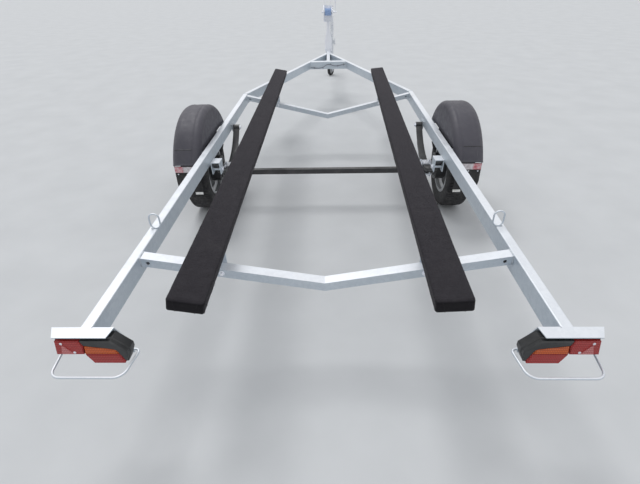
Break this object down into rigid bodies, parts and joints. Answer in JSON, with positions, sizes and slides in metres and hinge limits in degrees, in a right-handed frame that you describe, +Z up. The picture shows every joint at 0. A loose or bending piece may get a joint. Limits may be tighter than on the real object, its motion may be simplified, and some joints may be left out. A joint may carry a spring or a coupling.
{
  "type": "boat trailer",
  "caption": "Single axle boat trailer with a V nosed tube frame, two carpeted bunks, winch post, mudguards, rear lamps and a jockey wheel.",
  "frame": {"origin": "on the ground, in the middle of the trailer's length and width", "axes": "+Z up, +Y forward to the coupler, +X to the trailer's right"},
  "size_m": [1.92, 6.959, 1.275],
  "materials": {
    "galvanised": "hot dip galvanised, satin, pale blue grey",
    "zinc": "bright zinc plate",
    "carpet": "short black carpet pile",
    "black_plastic": "moulded dark grey plastic",
    "rubber": "matt black rubber",
    "wheel_rubber": "solid black rubber wheel",
    "tyre": "road tyre",
    "black_paint": "black enamel",
    "rim_paint": "silver enamel",
    "lens_red": "clear red lens",
    "lens_amber": "clear amber lens",
    "strap": "light blue webbing"
  },
  "bodies": {
    "frame": {"axle": "black_paint", "axle_clamps": "zinc", "bow_fork": "galvanised", "bow_roller": "rubber", "bump_stops": "rubber", "bunk_brackets_left": "galvanised", "bunk_brackets_right": "galvanised", "bunk_left": "carpet", "bunk_right": "carpet", "coupler": "zinc", "coupler_handle": "zinc", "drawbar": "galvanised", "front_arm_left": "galvanised", "front_arm_right": "galvanised", "front_crossbar": "galvanised", "guard_hoops": "galvanised", "jockey_clamp": "zinc", "jockey_crank": "zinc", "jockey_tube": "zinc", "lamp_bracket_left": "galvanised", "lamp_bracket_right": "galvanised", "lamp_housing_left": "black_plastic", "lamp_housing_right": "black_plastic", "lamp_lens_left": "lens_red", "lamp_lens_right": "lens_red", "leaf_spring_left": "black_paint", "leaf_spring_right": "black_paint", "mud_flap_left": "rubber", "mud_flap_right": "rubber", "mudguard_bars": "galvanised", "mudguard_left": "black_plastic", "mudguard_right": "black_plastic", "nose_beam": "galvanised", "nose_cable": "rubber", "rear_crossbar": "galvanised", "side_rail_left": "galvanised", "side_rail_right": "galvanised", "spring_hangers": "black_paint", "spring_seats": "black_paint", "tie_rings": "galvanised", "winch_frame": "zinc", "winch_post": "galvanised"},
    "wheel_left": {"tyre_left": "tyre", "rim_left": "rim_paint", "hub_left": "black_paint"},
    "wheel_right": {"tyre_right": "tyre", "rim_right": "rim_paint", "hub_right": "black_paint"},
    "winch_reel": {"winch_drum": "zinc", "winch_strap": "strap"},
    "jockey_stand": {"jockey_leg": "zinc"},
    "jockey_castor": {"jockey_fork": "zinc"},
    "jockey_roller": {"jockey_wheel": "wheel_rubber"}
  },
  "joints": [
    {"name": "wheel_left_spin", "type": "hinge", "parent": "frame", "child": "wheel_left", "pos_m": [-0.868, -1.4985, 0.28], "axis": [1, 0, 0], "continuous": true},
    {"name": "wheel_right_spin", "type": "hinge", "parent": "frame", "child": "wheel_right", "pos_m": [0.868, -1.4985, 0.28], "axis": [1, 0, 0], "continuous": true},
    {"name": "winch_turn", "type": "hinge", "parent": "frame", "child": "winch_reel", "pos_m": [0, 1.8995, 0.998], "axis": [1, 0, 0], "continuous": true},
    {"name": "jockey_raise", "type": "slide", "parent": "frame", "child": "jockey_stand", "axis": [0, 0, 1], "range_m": [-0.05, 0.16]},
    {"name": "jockey_swivel", "type": "hinge", "parent": "jockey_stand", "child": "jockey_castor", "pos_m": [0.052, 3.0665, 0.214], "axis": [0, 0, 1], "continuous": true},
    {"name": "jockey_wheel_spin", "type": "hinge", "parent": "jockey_castor", "child": "jockey_roller", "pos_m": [0.0304, 3.02588, 0.082], "axis": [0.8829, -0.4695, 0], "continuous": true}
  ]
}
